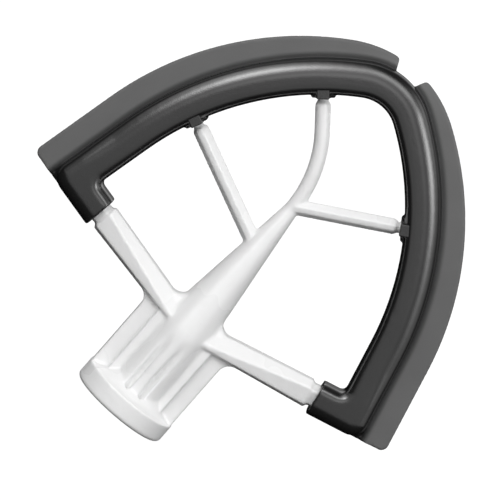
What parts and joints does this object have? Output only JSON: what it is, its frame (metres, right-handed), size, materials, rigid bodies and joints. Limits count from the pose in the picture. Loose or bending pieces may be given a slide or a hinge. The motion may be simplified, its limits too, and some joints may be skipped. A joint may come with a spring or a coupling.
{
  "type": "stand mixer flat beater",
  "caption": "Flat mixing beater: a cast A-shaped frame with a shaft socket, and a flexible scraping edge moulded round its arch.",
  "frame": {"origin": "centre of the hub's flat end, on the shaft bore's axis", "axes": "+Z along the shaft bore from the hub's open end to the arch's apex, X across the beater, front towards -Y, back with the bayonet slot towards +Y"},
  "size_m": [0.146, 0.0334, 0.143],
  "materials": {
    "coated_metal": "glossy white coating on cast metal",
    "edge_rubber": "satin dark grey flexible plastic"
  },
  "bodies": {
    "root": {"frame": "coated_metal", "flex_edge": "edge_rubber"}
  },
  "joints": []
}
